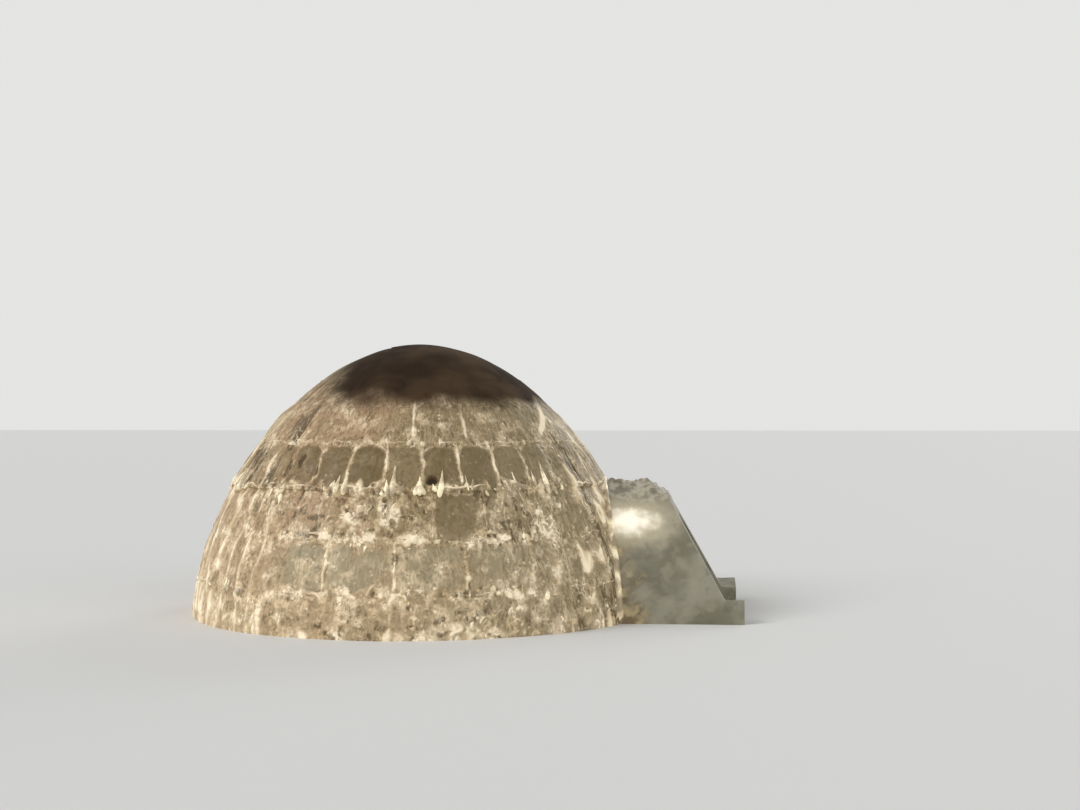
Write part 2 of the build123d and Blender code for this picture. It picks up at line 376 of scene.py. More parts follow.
# Noise fields of the melt: features to a metre, round the wall and up it where they differ, and
# a seed
FIELDS = {
    "shift_along": (11, 71),
    "shift_along_fine": (29, 72),
    "shift_up": (12, 73),
    "shift_up_fine": (31, 74),
    "bend_x": (7, 21),
    "bend_y": (7, 22),
    "bend_z": (7, 23),
    "drip_line": ((20, 20, 1.0), 76),
    "worn_edge": (8, 69),
    "worn_edge_fine": (21, 68),
    "worn_pane": (8, 70),
    "rib_strength": (5, 75),
    "rim_breaks": (14, 77),
    "broad_flow": ((9, 9, 1.5), 33),
    "flow": ((19, 19, 3.5), 31),
    "fine_flow": ((40, 40, 11.0), 32),
    "flow_breaks": (6, 54),
    "patches": (3.6, 51),
    "curls": (13, 47),
    "curl_patches": (5, 53),
    "curl_breaks": (21, 49),
    "lit_drops": (17, 52),
    "ridges": ((7.5, 7.5, 1.6), 37),
    "ridge_patches": (3.0, 38),
    "drape": ((9, 9, 1.0), 79),
    "sill_breaks": (7, 80),
    "sheen_streaks": ((12, 12, 2.0), 39),
    "gullies": ((11, 11, 3.0), 36),
    "shadows": (22, 48),
    "pit_rim": (25, 78),
}
LUMPS = (2.4, 11)
GRAIN = (38, 61)
# A course without frozen drops still has this share of the lumps
CALM_LUMPS = 0.4
# Frozen drops, large ones first: drops to a metre, seed, share of places with one, and height
DROPS = (
    ((14, 14, 10.0), 43, 0.4, 0.95),
    ((24, 24, 19.0), 41, 0.5, 0.85),
    ((38, 38, 30.0), 44, 0.5, 0.7),
)


def field(name, points):
    """One noise field of the melt, from -1 to 1."""
    scale, seed = FIELDS[name]
    return noise(points * np.array(scale), seed)


class MeltedFace:
    """How the melt has shaped one block's outer face, worked out for each of its corners.

    p runs along the block and q up it, from its middle; across is the share of the radius to the
    right of the axis; wall follows the dome's outside, and bent is the same with a wander in it.
    """

    def __init__(self, level, clean, wall, azimuth, height, across, p, q, half_length, half_course):
        self.level, self.shape, self.spotless = level, COURSE_SHAPES[level], clean >= 1.0
        self.wall, self.azimuth, self.height, self.across = wall, azimuth, height, across
        self.half_length, self.half_course = half_length, half_course
        self.p = p + 0.009 * field("shift_along", wall) + 0.006 * field("shift_along_fine", wall)
        self.q = q + 0.010 * field("shift_up", wall) + 0.006 * field("shift_up_fine", wall)
        bends = [field(name, wall) for name in ("bend_x", "bend_y", "bend_z")]
        self.bent = wall + WANDER * np.stack(bends, axis=1)
        self.flow, self.broad_flow = field("flow", self.bent), field("broad_flow", self.bent)
        self.patchy = smoothstep(-0.30, 0.30, field("patches", wall))
        self.right_runs = smoothstep(*RIGHT_RUNS, across)
        self.left_runs = 1 - smoothstep(*LEFT_RUNS, across)
        self.runs = np.clip(self.right_runs + 0.9 * self.left_runs, 0, 1)

        self.ragged = self.shape["ragged"] * (1.0 + 1.1 * field("drip_line", wall))
        if self.spotless:
            self.ragged = 0.2 * self.ragged
        self.edge = self.pane_distance()
        self.pane = self.clean_pane(clean * (1 - 0.9 * self.runs))
        self.busy = 1 - self.pane
        self.foot = 1 - smoothstep(-0.02, 0.03, self.q - self.ragged + half_course)
        self.still = self.shape["ice"] * self.busy * (1 - 0.6 * self.runs)

    def pane_distance(self):
        """Distance to the edge of the block's clean pane, negative inside it."""
        joint = self.shape["joint"]
        top, foot = self.half_course - joint, self.ragged - self.half_course
        middle, half = (top + foot) / 2, (top - foot) / 2
        corner = np.where(self.q > middle, self.shape["corner"], LOWER_CORNER)
        dx = np.abs(self.p) - (self.half_length - joint - corner)
        dy = np.abs(self.q - middle) - (half - corner)
        inside = np.minimum(np.maximum(dx, dy), 0)
        edge = np.hypot(np.maximum(dx, 0), np.maximum(dy, 0)) + inside - corner
        if self.spotless:
            edge = edge + 0.024 * field("worn_edge", self.wall)
            edge = edge + 0.014 * field("worn_edge_fine", self.wall)
        return edge

    def clean_pane(self, clean):
        """Where clear ice shows, from 0 to 1, worn at the sides and foot of the clean block."""
        pane = (1 - smoothstep(-0.024, 0.004, self.edge)) * clean
        if self.spotless:
            p, q = self.p / self.half_length, self.q / self.half_course
            worn = smoothstep(0.1, 1.0, p) + smoothstep(0.3, 1.0, -q)
            worn += 0.8 * smoothstep(0.4, 0.95, -p)
            pane *= 1 - np.clip(worn * (0.45 + 0.6 * field("worn_pane", self.wall)), 0, 0.9)
        return pane

    def rims(self):
        """Ice in the joints: upright ribs that stay whole, and beds that are broken into beads."""
        half_length, half_course = self.half_length, self.half_course
        upright = smoothstep(half_length - 0.018, half_length - 0.004, np.abs(self.p))
        upright *= self.shape["rib"]
        upright *= smoothstep(-half_course, -0.5 * half_course, self.q)
        kept = 0.3 if self.spotless else 1.0
        upright *= np.clip(1.0 + 0.9 * field("rib_strength", self.wall), 0.2, 1) * kept
        if self.level in RIBS_BETWEEN:
            start, end = RIBS_BETWEEN[self.level]
            upright *= 0.15 + 0.85 * smoothstep(start, start + 0.08, self.across)
            upright *= 0.15 + 0.85 * smoothstep(-end, -end + 0.07, -self.across)
        line = within((-0.010, 0.000), (0.006, 0.020), self.edge) * (1 - self.foot)
        line *= np.clip(self.shape["arch"] + 1.2 * field("rim_breaks", self.wall), 0, 1)
        icy = 1.0 if self.shape["joint"] else 0.0
        return np.maximum(upright, 0.75 * line) * (1 - 0.9 * self.runs) * icy

    def streaks(self):
        """Upright crests left by melt water, broad ones where it has run down the whole wall."""
        busy, foot, runs = self.busy, self.foot, self.runs
        broken = smoothstep(-0.5, 0.2, field("flow_breaks", self.wall))
        fine = crests(field("fine_flow", self.bent), 0.30)
        return np.maximum.reduce([
            1.2 * crests(self.broad_flow, 0.42) * runs * broken,
            crests(self.flow, 0.20) * np.clip(0.08 * busy + 0.9 * foot + 0.5 * runs, 0, 1) * broken,
            0.5 * fine * np.clip(0.25 * busy + 0.5 * foot + 0.1 * runs, 0, 1),
        ]) * self.shape["streak"]

    def drops(self):
        """Frozen drops of three sizes, the large ones only in patches."""
        sizes = [
            tall * droplets(self.bent * np.array(scale), seed, share)
            for scale, seed, share, tall in DROPS
        ]
        sizes[0] = sizes[0] * self.patchy
        return np.maximum.reduce(sizes) * self.still * (0.4 + 0.6 * self.patchy)

    def curls(self):
        """Broken curls of refrozen slush."""
        where = smoothstep(0.1, 0.6, field("curl_patches", self.wall))
        curls = crests(field("curls", self.bent), 0.36) * where * self.still
        return curls * np.clip(0.55 + 0.9 * field("curl_breaks", self.wall), 0, 1)

    def ridges(self):
        """Long thin ridges of melt water on the low courses."""
        ridge = crests(field("ridges", self.bent), 0.13) * self.shape["ridge"]
        ridge *= 1 - 0.7 * self.pane
        return ridge * smoothstep(-0.2, 0.4, field("ridge_patches", self.wall))

    def sills(self):
        """A draped line of ice on the bed below the block."""
        draped = 0.022 + 0.020 * np.abs(field("drape", self.wall))
        sill = crests(self.q + self.half_course - draped, 0.012)
        sill *= np.clip(0.8 + 1.2 * field("sill_breaks", self.wall), 0, 1)
        return sill * self.shape["sill"]

    def painted_sheen(self):
        """A painted highlight: the glossy sheen above the passage and the bright streak at its edge.
        """
        turn = self.azimuth - SHEEN_AZIMUTH
        sheet = 0.6 * np.exp(-((turn / SHEEN_HALF) ** 2))
        sheet *= within(SHEEN_FOOT, SHEEN_TOP, self.height)
        sheet *= np.clip(0.8 + 0.9 * field("sheen_streaks", self.wall), 0, 1)
        turn = self.azimuth - HIGHLIGHT_AZIMUTH - HIGHLIGHT_TURN * (self.height - HIGHLIGHT_HEIGHT)
        run = np.exp(-((turn / HIGHLIGHT_HALF) ** 2)) * within(HIGHLIGHT_FOOT, HIGHLIGHT_TOP, self.height)
        return np.maximum(sheet, run)

    def gullies(self):
        """Gullies down the left shoulder, sunk in and painted in shade."""
        shoulder = smoothstep(*SHOULDER_RISE, self.wall[:, 2])
        shoulder *= 1 - smoothstep(*SHOULDER_ACROSS, self.across)
        return smoothstep(0.05, 0.45, field("gullies", self.bent)) * shoulder

    def hollows(self, gully, drops):
        """Painted shade between the streaks, in the gullies and round the drops."""
        between = 0.6 * smoothstep(0.2, 0.6, np.abs(self.flow)) * self.foot * self.shape["sill"]
        furrows = smoothstep(0.42, 0.75, np.abs(self.broad_flow))
        furrows *= 0.85 * self.right_runs + 0.3 * self.left_runs
        shadows = 0.8 * smoothstep(0.0, 0.6, field("shadows", self.bent)) * self.still * (1 - drops)
        return np.maximum.reduce([between, furrows, 1.1 * gully, shadows])

    def holes(self):
        """Each pit or furrow as a mask, with its depth."""
        for azimuth, height, radius, depth, roundness in PITS:
            turn = np.array([math.radians(azimuth)])
            middle = wall_place(turn, curve_angle(np.array([height])))
            away = np.sqrt((((self.wall - middle) * (1, 1, roundness)) ** 2).sum(axis=1)) / radius
            away = away + 0.2 / min(1, roundness) * field("pit_rim", self.wall)
            yield (1 - smoothstep(0.55, 1.05, away)) * min(1, 0.35 + roundness), depth

    def relief_and_masks(self):
        """How far each corner stands out, with masks of crests in painted light, hollows in painted
        shade, and panes.
        """
        shape, wall, rest = self.shape, self.wall, self.busy
        rim, streaks, drops, curls = self.rims(), self.streaks(), self.drops(), self.curls()
        ridge, sill, gully = self.ridges(), self.sills(), self.gullies()
        swell = np.clip(1 - (self.p / self.half_length) ** 2, 0, 1)
        swell *= np.clip(1 - (self.q / self.half_course) ** 2, 0, 1)
        worked = CALM_LUMPS + (1 - CALM_LUMPS) * shape["ice"]
        relief = rough(wall * LUMPS[0], LUMPS[1]) * LUMP_HEIGHT * worked
        relief += shape["pillow"] * swell**0.6 + rim * RIM_HEIGHT + streaks * CREST_HEIGHT
        relief += drops * DROP_HEIGHT + curls * CURL_HEIGHT
        relief += rough(wall * GRAIN[0], GRAIN[1]) * GRAIN_HEIGHT * rest * shape["ice"]
        if self.level == LEDGE_COURSE:
            up = self.q + self.half_course
            relief += LEDGE_PROUD * (1 - smoothstep(0.0, LEDGE_RISE, up))
        relief += ridge * RIDGE_HEIGHT
        relief += sill * SILL_HEIGHT
        relief -= gully * GULLY_DEPTH

        # What stands proud catches the light from inside and is painted bright, which drops do is
        # chance, and the painted highlight above the passage joins them
        chance = smoothstep(-0.25, 0.45, field("lit_drops", wall))
        bright = np.maximum.reduce([
            self.painted_sheen(), 0.50 * rim, streaks * 0.75, drops * chance, curls * 0.9, sill, ridge
        ])
        hollow = self.hollows(gully, drops)
        # Pits are sunk, lose their painted light and are painted in deep shade
        for hole, depth in self.holes():
            relief -= hole * depth
            bright *= 1 - hole
            hollow = np.maximum(hollow, 1.6 * hole)
        melt = np.clip(shape["melt"] * (0.35 + 0.65 * self.patchy) + 0.5 * self.foot, 0, 1) * rest
        masks = dict(
            bright=np.clip(bright, 0, 1), hollow=np.clip(hollow, 0, 1.6),
            melt=melt * (1 - 0.35 * self.runs), pane=self.pane * shape["dark"],
        )
        return relief, masks


# The unit block: a cube whose outer face is finely divided


def unit_block(name, cuts):
    bpy.ops.mesh.primitive_cube_add(size=1, location=(0, 0, 0))
    cube = bpy.context.active_object
    cube.name = name
    edit_mode(select_all=True)
    bpy.ops.mesh.subdivide(number_cuts=SIDE_CELLS - 1)
    bpy.ops.mesh.select_all(action="DESELECT")
    object_mode()
    for face in cube.data.polygons:
        face.select = face.normal.z > 0.9
    edit_mode()
    bpy.ops.mesh.select_mode(type="FACE")
    bpy.ops.mesh.subdivide(number_cuts=cuts)
    object_mode()
    return cube


def unit_coordinates(cube):
    """Each corner of a unit block as (along, up, depth), each from 0 to 1."""
    co = np.empty(len(cube.data.vertices) * 3)
    cube.data.vertices.foreach_get("co", co)
    co = co.reshape(-1, 3)
    return co[:, 0] + 0.5, co[:, 1] + 0.5, 0.5 - co[:, 2]


worked_cube = unit_block("worked_block", WORKED_CUTS)
plain_cube = unit_block("plain_block", PLAIN_CUTS)
UNITS = {cube: unit_coordinates(cube) for cube in (worked_cube, plain_cube)}


def block_mesh(name, cube, places, wall, masks):
    """A copy of the unit block with its corners at their places and its masks as attributes.

    Its inside face takes the second finish of its piece, and all the others the first.
    """
    mesh = cube.data.copy()
    mesh.name = name
    reshape(mesh, places)
    for label, values in masks.items():
        layer = mesh.attributes.new(label, "FLOAT", "POINT")
        layer.data.foreach_set("value", np.broadcast_to(values, len(places)).astype(np.float32))
    layer = mesh.attributes.new("wall", "FLOAT_VECTOR", "POINT")
    layer.data.foreach_set("vector", wall.astype(np.float32).ravel())
    depth = UNITS[cube][2]
    for face in mesh.polygons:
        face.material_index = 1 if min(depth[i] for i in face.vertices) > INSIDE_DEPTH else 0
    mesh.update()
    obj = bpy.data.objects.new(name, mesh)
    bpy.context.collection.objects.link(obj)
    return obj


def frame_blocks(node):
    """Azimuth at each end of every block of a course node, measured on its outer face."""
    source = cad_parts[node]
    copy = source.copy()
    copy.data = source.data.copy()
    bpy.context.collection.objects.link(copy)
    only(copy)
    edit_mode(select_all=True)
    bpy.ops.mesh.remove_doubles(threshold=MERGE_DISTANCE)
    bpy.ops.mesh.separate(type="LOOSE")
    object_mode()
    spans = []
    for part in list(bpy.context.selected_objects):
        co = corners(part.data)
        x, y = co[:, 0] - AXIS.x, co[:, 1]
        radius = curve_at(curve_angle(co[:, 2]))[0]
        outer = np.hypot(x, y) > radius - NEAR_OUTSIDE
        middle = math.atan2(np.mean(y[outer]), np.mean(x[outer]))
        turn = (np.arctan2(y[outer], x[outer]) - middle + math.pi) % (2 * math.pi) - math.pi
        spans.append((middle + turn.min(), middle + turn.max()))
        bpy.data.objects.remove(part, do_unlink=True)
    return sorted(spans)


def end_azimuth(azimuth, level, radius):
    """Azimuth of a block's end at each radius: constant, or a jamb parallel to the passage."""
    if level > LINTEL_COURSE or abs(azimuth) > JAMB_AZIMUTH:
        return np.full(len(radius), azimuth)
    half = lintel_half_length if level == LINTEL_COURSE else DOOR_HALF_WIDTH
    return np.arcsin(np.clip(math.copysign(half, azimuth) / radius, -1, 1))


def bed_distance(low, high):
    """Straight distance from bed to bed along the outside of the wall."""
    r, z, _, _ = curve_at(curve_angle(np.array([low, high])))
    return math.hypot(r[1] - r[0], z[1] - z[0])


def arched_soffit(places, up, low, high):
    """Raises the foot of the lintel to the doorway's arched head."""
    shoulder = low + DOOR_HEAD_RISE * (1 - (places[:, 1] / DOOR_HALF_WIDTH) ** 2)
    top = places[:, 2] + (1 - up) * (high - low)
    bottom = np.maximum(places[:, 2] - up * (high - low), shoulder)
    places[:, 2] = bottom + up * (top - bottom)


def dome_block(name, level, span, low, high):
    """One block of a course between its two end azimuths and its two beds."""
    cube = worked_cube if level in WORKED_COURSES else plain_cube
    along, up, depth = UNITS[cube]
    foot_angle, top_angle = curve_angle(np.array([low, high]))
    angle = foot_angle + (top_angle - foot_angle) * up
    r, z, out, rise = curve_at(angle)
    radius, height = r - out * WALL * depth, z - rise * WALL * depth
    start, end = (end_azimuth(azimuth, level, radius) for azimuth in span)
    azimuth = start + (end - start) * along
    places = on_dome(radius, azimuth, height)
    if name == "doorway_lintel":
        arched_soffit(places, up, low, high)

    half_length = (span[1] - span[0]) * r / 2
    half_course = bed_distance(low, high) / 2
    p, q = (2 * along - 1) * half_length, (2 * up - 1) * half_course
    clean = COURSE_SHAPES[level]["pane"] * random.uniform(0.7, 1.0)
    if level == CLEAN_BLOCK_COURSE and span[0] < CLEAN_BLOCK_AZIMUTH < span[1]:
        clean = 1.0
    wall = wall_place(azimuth, angle)
    across = (places[:, 0] - AXIS.x) / DOME_RADIUS
    melted = MeltedFace(level, clean, wall, azimuth, z, across, p, q, half_length, half_course)
    relief, masks = melted.relief_and_masks()
    face, inside = np.clip(1 - FADE * depth, 0, 1), np.clip(FADE * depth - (FADE - 1), 0, 1)
    moved = relief * face + rough(places * 5, 81) * INNER_MELT * inside
    places = places + outward(out, azimuth, rise) * moved[:, None]
    masks["tone"] = random.random()
    return block_mesh(name, cube, places, wall, masks)


def finish_piece(piece, node, materials):
    for material in materials:
        piece.data.materials.append(material)
    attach(piece, "root")
    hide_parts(node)


# Materials


class Nodes:
    """A node tree with short calls for adding and joining nodes."""

    def __init__(self, tree):
        self.tree = tree

    def add(self, kind, inputs=None, **settings):
        node = self.tree.nodes.new(kind)
        for key, value in settings.items():
            setattr(node, key, value)
        for key, value in (inputs or {}).items():
            self.feed(value, node.inputs[key])
        return node

    def feed(self, value, socket):
        """Joins a socket to another, or gives it a constant."""
        if isinstance(value, bpy.types.NodeSocket):
            self.tree.links.new(value, socket)
        else:
            socket.default_value = value

    def fold(self, operation, first, *others):
        """Numbers put together one after the other with one operation."""
        for value in others:
            node = self.add("ShaderNodeMath", {0: first, 1: value}, operation=operation)
            first = node.outputs[0]
        return first

    def plus(self, *values):
        return self.fold("ADD", *values)

    def times(self, *values):
        return self.fold("MULTIPLY", *values)

    def most(self, *values):
        return self.fold("MAXIMUM", *values)

    def swing(self, value, size):
        """How far a value lies above one half, times a size."""
        return self.times(self.fold("SUBTRACT", value, 0.5), size)

    def off_half(self, value):
        """How far a value lies from one half, either way."""
        above = self.fold("SUBTRACT", value, 0.5)
        return self.add("ShaderNodeMath", {0: above}, operation="ABSOLUTE").outputs[0]

    def ramp(self, value, low, high, to_low=0.0, to_high=1.0):
        node = self.add(
            "ShaderNodeMapRange",
            {"Value": value, "From Min": low, "From Max": high, "To Min": to_low, "To Max": to_high},
            interpolation_type="SMOOTHSTEP",
        )
        return node.outputs[0]

    def mix(self, factor, a, b):
        node = self.add("ShaderNodeMix", data_type="RGBA")
        self.feed(factor, node.inputs[0])
        self.feed(a, node.inputs[6])
        self.feed(b, node.inputs[7])
        return node.outputs[2]

    def vector(self, operation, a, b):
        return self.add("ShaderNodeVectorMath", {0: a, 1: b}, operation=operation).outputs[0]

    def scale_color(self, color, strength):
        node = self.add("ShaderNodeVectorMath", {0: color, "Scale": strength}, operation="SCALE")
        return node.outputs[0]

    def noise(self, vector, scale, detail, **more):
        inputs = {"Vector": vector, "Scale": scale, "Detail": detail, **more}
        return self.add("ShaderNodeTexNoise", inputs).outputs[0]

    def bump(self, shader, height, strength, distance):
        """Fine relief on a surface, as a change of its normal."""
        inputs = {"Height": height, "Strength": strength, "Distance": distance}
        self.feed(self.add("ShaderNodeBump", inputs).outputs[0], shader.inputs["Normal"])


def linear(red, green, blue):
    """A colour given as it is seen, from 0 to 255, as the linear one that a shader takes."""
    parts = [c / 255 for c in (red, green, blue)]
    return tuple(c / 12.92 if c <= 0.04045 else ((c + 0.055) / 1.055) ** 2.4 for c in parts) + (1,)


# The dome's ice
PANE_DARK, PANE_PALE = linear(114, 99, 70), linear(134, 117, 86)
LOW_PANE = linear(150, 143, 118)
CLOUDY, CLOUDY_PINK = linear(150, 132, 101), linear(172, 143, 112)
MOTTLED = linear(100, 84, 58)
LIT_LOW, LIT_LEFT, LIT_FOOT = linear(178, 157, 126), linear(196, 171, 139), linear(230, 210, 180)
SHADED_RIGHT = linear(132, 124, 98)
# Painted light: patches where the light inside shines through brightly
SHINING = linear(222, 197, 160)
# Painted shade: in the hollows, deeper in the pits, and in the skirt of shadow round the crests
HOLLOW, PIT, SKIRT = linear(82, 67, 44), linear(62, 52, 38), linear(92, 77, 52)
# Painted light: crests lit from inside, with painted glints at the brightest
CREST_DIM, CREST_BRIGHT = linear(206, 184, 148), linear(255, 240, 210)
# Painted shade of the crown, which the light inside does not reach
CROWN_DARK, CROWN_PALE = linear(44, 32, 22), linear(70, 54, 39)
INNER_DIM, INNER_BRIGHT = linear(176, 150, 112), linear(226, 202, 160)
# Drip ice, painted bright as lit from inside
DRIP_DIM, DRIP_PALE, DRIP_BRIGHT = linear(150, 134, 106), linear(208, 190, 156), linear(250, 238, 200)
# The passage's snow
SNOW_DARK, SNOW_PALE = linear(120, 116, 98), linear(150, 146, 128)
BLOTCH_PALE, BLOTCH_DARK = linear(160, 153, 130), linear(108, 104, 88)
GOLD_DARK, GOLD_PALE = linear(126, 108, 78), linear(196, 176, 132)
CRUST_DARK, CRUST_PALE = linear(126, 120, 104), linear(182, 174, 154)
HALO, BRIGHT_PATCH = linear(226, 212, 180), linear(254, 247, 228)
WARM_GLINT = (1.0, 0.93, 0.80, 1)

# How much of a surface's seen colour it reflects, and how much is its own glow from the light
# inside: on the dome at its foot and at its crown, on its inside, on the drips, on the passage, and
# what the bright patch adds to that
LIT_SHARE = 0.64
DOME_GLOW = (0.50, 0.32)
INNER_GLOW = 0.44
DRIP_GLOW = 0.49
SNOW_GLOW = 0.28
PATCH_GLOW = 0.34
# The crown, painted dark as the light inside does not show through it: the height at which it starts,
# how far its edge wanders, and its end on the left
CROWN_EDGE = (1.55, 1.73)
CROWN_WANDER = 0.24
CROWN_LEFT = (AXIS.x - 0.80, AXIS.x - 0.42)
CROWN_TOP = (1.85, 2.06)
# The bright patch where the light inside shows through the passage beside the dome
PATCH_MIDDLE = (AXIS.x + 1.68, -0.53, 0.75)
PATCH_SQUASH = (0.8, 1.0, 1.5)


def effect_group(name, inputs, outputs):
    """An empty shader node group: a vector and numbers go in, and numbers come out."""
    tree = bpy.data.node_groups.new(name, "ShaderNodeTree")
    for label in inputs:
        kind = "NodeSocketVector" if label == "Vector" else "NodeSocketFloat"
        tree.interface.new_socket(label, in_out="INPUT", socket_type=kind)
    for label in outputs:
        tree.interface.new_socket(label, in_out="OUTPUT", socket_type="NodeSocketFloat")
    nodes = Nodes(tree)
    given = nodes.add("NodeGroupInput").outputs
    leave = nodes.add("NodeGroupOutput")
    return tree, nodes, given, leave


def melt_run_group():
    """Long upright runs of melt water, as a mask."""
    tree, nodes, given, leave = effect_group(
        "melt_runs", ["Vector", "Scale"], ["Mask", "Height"]
    )
    bend = nodes.add("ShaderNodeTexNoise", {"Vector": given["Vector"], "Scale": 7.0, "Detail": 2.0})
    lean = nodes.vector("SUBTRACT", bend.outputs["Color"], (0.5, 0.5, 0.5))
    lean = nodes.vector("MULTIPLY", lean, (0.1, 0.1, 0.1))
    moved = nodes.vector("ADD", given["Vector"], lean)
    drawn_out = nodes.vector("MULTIPLY", moved, (1.0, 1.0, 0.2))
    runs = nodes.noise(drawn_out, given["Scale"], 3.0)
    crest = nodes.ramp(nodes.off_half(runs), 0.0, 0.055, 1.0, 0.0)
    nodes.feed(crest, leave.inputs["Mask"])
    nodes.feed(runs, leave.inputs["Height"])
    return tree


def bubble_group():
    """Blobs and curls of refrozen slush round trapped air, as a mask, a height and specks."""
    tree, nodes, given, leave = effect_group(
        "bubble_curls", ["Vector", "Scale", "Amount"], ["Mask", "Height", "Specks"]
    )
    place = given["Vector"]
    tall = nodes.vector("MULTIPLY", place, (1.0, 1.0, 0.62))
    slush = nodes.noise(tall, given["Scale"], 4.0, Roughness=0.55, Distortion=0.9)
    blobs = nodes.ramp(nodes.plus(slush, nodes.swing(given["Amount"], 0.22)), 0.60, 0.66)
    patches = nodes.noise(place, 5.0, 2.0)
    swirl = nodes.noise(place, 11.0, 2.0, Distortion=1.2)
    curl = nodes.ramp(nodes.off_half(swirl), 0.008, 0.04, 1.0, 0.0)
    curl = nodes.times(curl, nodes.ramp(patches, 0.58, 0.66))
    mask = nodes.times(nodes.most(blobs, curl), nodes.ramp(given["Amount"], 0.05, 0.5))
    cells = nodes.add("ShaderNodeTexVoronoi", {"Vector": place, "Scale": 21.0}).outputs
    specks = nodes.ramp(cells["Distance"], 0.14, 0.30, 1.0, 0.0)
    chance = nodes.add("ShaderNodeSeparateColor", {0: cells["Color"]}).outputs[0]
    nodes.feed(mask, leave.inputs["Mask"])
    nodes.feed(nodes.plus(slush, nodes.times(mask, 0.3)), leave.inputs["Height"])
    nodes.feed(nodes.times(specks, nodes.ramp(chance, 0.52, 0.7)), leave.inputs["Specks"])
    return tree


def frost_group():
    """Fine granular frost, as a height and a roughness."""
    tree, nodes, given, leave = effect_group(
        "frost_grain", ["Vector", "Scale", "Roughness", "Spread"], ["Height", "Roughness"]
    )
    fine = nodes.noise(given["Vector"], given["Scale"], 5.0, Roughness=0.6)
    broad = nodes.noise(given["Vector"], 9.0, 3.0)
    change = nodes.swing(broad, given["Spread"])
    nodes.feed(fine, leave.inputs["Height"])
    nodes.feed(nodes.plus(given["Roughness"], change), leave.inputs["Roughness"])
    return tree


MELT_RUNS = melt_run_group()
BUBBLE_CURLS = bubble_group()
FROST_GRAIN = frost_group()


def new_material(name):
    """A material with an empty tree but for its surface shader and output."""
    material = bpy.data.materials.new(name)
    material.use_nodes = True
    nodes = Nodes(material.node_tree)
    shader = material.node_tree.nodes["Principled BSDF"]
    coordinates = nodes.add("ShaderNodeTexCoord").outputs["Object"]
    return material, nodes, shader, coordinates


def use(nodes, group, **inputs):
    """A shared effect placed in a material with its own values."""
    node = nodes.add("ShaderNodeGroup")
    node.node_tree = group
    for key, value in inputs.items():
        nodes.feed(value, node.inputs[key])
    return node.outputs


def attribute(nodes, name, output="Fac"):
    return nodes.add("ShaderNodeAttribute", attribute_name=name).outputs[output]


def set_finish(shader, **values):
    """Constant values of a surface, named as its sockets with _ for each space."""
    for key, value in values.items():
        shader.inputs[key.replace("_", " ")].default_value = value


def glow(nodes, shader, color, strength):
    """Splits a seen colour between what the surface reflects and what shines through it."""
    nodes.feed(nodes.scale_color(color, LIT_SHARE), shader.inputs["Base Color"])
    nodes.feed(nodes.scale_color(color, strength), shader.inputs["Emission Color"])
    set_finish(shader, Emission_Strength=1.0)


def read_ice(nodes, place):
    """Everything that the dome's ice is coloured by: its place, its masks and its noises."""
    wall = attribute(nodes, "wall", "Vector")
    axes = nodes.add("ShaderNodeSeparateXYZ", {0: place}).outputs
    ice = SimpleNamespace(place=place, across=axes["X"], height=axes["Z"])
    for mask in ("bright", "hollow", "melt", "pane", "tone"):
        setattr(ice, mask, attribute(nodes, mask))
    ice.runs = use(nodes, MELT_RUNS, Vector=wall, Scale=22.0)
    ice.curls = use(nodes, BUBBLE_CURLS, Vector=wall, Scale=18.0, Amount=ice.melt)
    ice.frost = use(nodes, FROST_GRAIN, Vector=place, Scale=80.0, Roughness=0.52, Spread=0.3)
    ice.broad = nodes.noise(place, 2.4, 3.0)
    ice.patch = nodes.noise(place, 6.5, 4.0)
    ice.mottle = nodes.noise(wall, 24.0, 5.0)
    ice.fine = nodes.noise(wall, 42.0, 3.0)
    return ice


